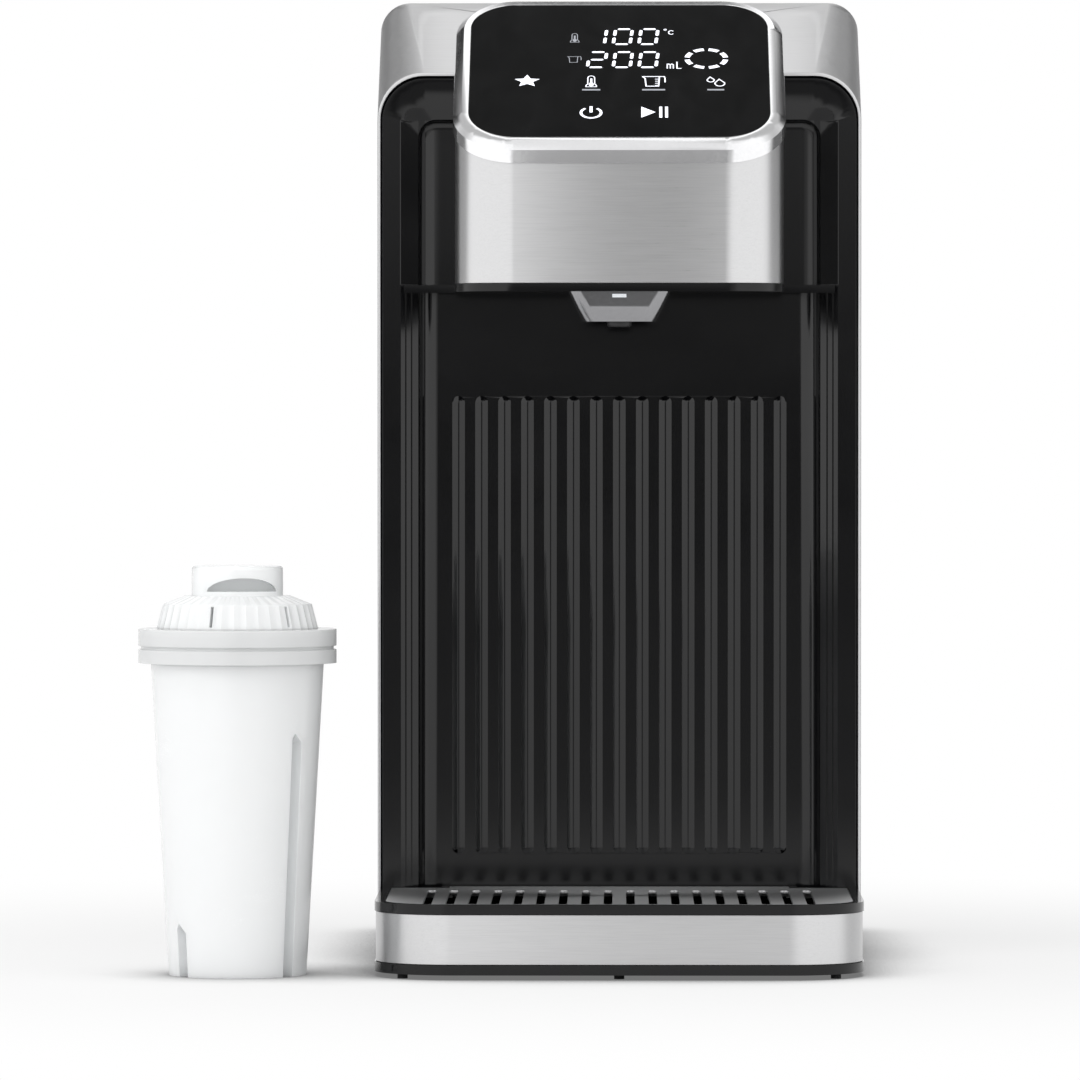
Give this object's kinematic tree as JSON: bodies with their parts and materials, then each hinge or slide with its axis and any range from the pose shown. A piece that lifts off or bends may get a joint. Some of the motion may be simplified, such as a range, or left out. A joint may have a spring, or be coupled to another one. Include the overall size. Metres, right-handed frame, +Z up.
{
  "type": "instant hot water dispenser",
  "caption": "Countertop hot water dispenser with a steel body, an overhanging head with a sloping touch panel, a slotted drip tray, a lift-off rear water tank and a filter cartridge.",
  "frame": {"origin": "on the counter plane, at the middle of the rubber strip under the tower, midway between the front of the drip tray and the back of the tank", "axes": "+X to the machine's right as seen from the front, -Y towards the user, +Z up"},
  "size_m": [0.236, 0.2771, 0.32],
  "materials": {
    "brushed_steel": "brushed upright",
    "bezel_metal": "satin bright",
    "panel_glass": "gloss, black backed",
    "black_plastic": "satin moulded",
    "gloss_black": "gloss moulded",
    "tank_smoke": "clear smoky",
    "natural_plastic": "moulded, unpainted",
    "filter_white": "satin moulded",
    "filter_carbon": "loose granules",
    "silicone": "translucent",
    "rubber_black": "matt",
    "cast_aluminium": "as cast",
    "zinc_steel": "zinc plated",
    "motor_case": "plated can",
    "board_green": "lacquered laminate",
    "component_black": "moulded",
    "brass": "plain",
    "light_window": "frosted"
  },
  "bodies": {
    "housing": {"steel_shell": "brushed_steel", "front_fascia": "black_plastic", "panel_bezel": "bezel_metal", "display_glass": "panel_glass", "touch_board": "board_green", "display_board": "board_green", "head_cover": "brushed_steel", "head_body": "black_plastic", "nozzle_shroud": "bezel_metal", "nozzle_light": "light_window", "nozzle_tip": "silicone", "steam_separator": "natural_plastic", "heater_body": "cast_aluminium", "heater_bracket": "zinc_steel", "thermostats": "component_black", "heater_terminals": "brass", "ntc_sensor": "brass", "outlet_hose": "silicone", "pump_mount": "rubber_black", "pump_housing": "natural_plastic", "pump_motor": "motor_case", "flow_meter_body": "natural_plastic", "inlet_hose": "silicone", "pump_hose": "silicone", "heater_hose": "silicone", "rear_cover": "black_plastic", "cover_screws": "zinc_steel", "power_board": "board_green", "power_components": "component_black", "base_chassis": "black_plastic", "base_bottom_plate": "black_plastic", "base_screws": "zinc_steel", "rubber_feet": "rubber_black", "cord_gland": "rubber_black", "dock_spigot": "natural_plastic", "dock_seal": "silicone"},
    "drip_tray": {"tray_body": "gloss_black", "tray_band": "brushed_steel", "tray_feet": "rubber_black"},
    "drip_grid": {"drip_grid": "brushed_steel"},
    "tank": {"water_tank": "tank_smoke", "tank_hopper": "tank_smoke", "tank_valve_body": "natural_plastic", "valve_spring": "zinc_steel"},
    "lid": {"tank_lid": "black_plastic"},
    "valve": {"valve_poppet": "silicone"},
    "filter": {"filter_shell": "filter_white", "filter_cap": "filter_white", "filter_medium": "filter_carbon"},
    "pump_rotor": {"pump_rotor": "natural_plastic"},
    "flow_turbine": {"flow_turbine": "component_black"}
  },
  "joints": [
    {"name": "tray_slide", "type": "slide", "parent": "housing", "child": "drip_tray", "axis": [0, -1, 0], "range_m": [0, 0.11]},
    {"name": "grid_lift", "type": "slide", "parent": "drip_tray", "child": "drip_grid", "axis": [0, 0, 1], "range_m": [0, 0.05]},
    {"name": "tank_lift", "type": "slide", "parent": "housing", "child": "tank", "axis": [0, 0, 1], "range_m": [0, 0.3]},
    {"name": "lid_hinge", "type": "hinge", "parent": "tank", "child": "lid", "pos_m": [0, 0.131, 0.31425], "axis": [-1, 0, 0], "range_deg": [0, 100]},
    {"name": "valve_lift", "type": "slide", "parent": "tank", "child": "valve", "axis": [0, 0, 1], "range_m": [0, 0.003], "stiffness_N_per_m": 100, "springref_m": -0.003, "deforming": ["valve_spring"]},
    {"name": "filter_lift", "type": "slide", "parent": "housing", "child": "filter", "axis": [0, 0, 1], "range_m": [0, 0.15]},
    {"name": "pump_spin", "type": "hinge", "parent": "housing", "child": "pump_rotor", "pos_m": [0.054, 0.014, 0.04], "axis": [0, 0, 1], "continuous": true},
    {"name": "turbine_spin", "type": "hinge", "parent": "housing", "child": "flow_turbine", "pos_m": [-0.008, 0.024, 0.03], "axis": [0, 0, 1], "continuous": true}
  ]
}
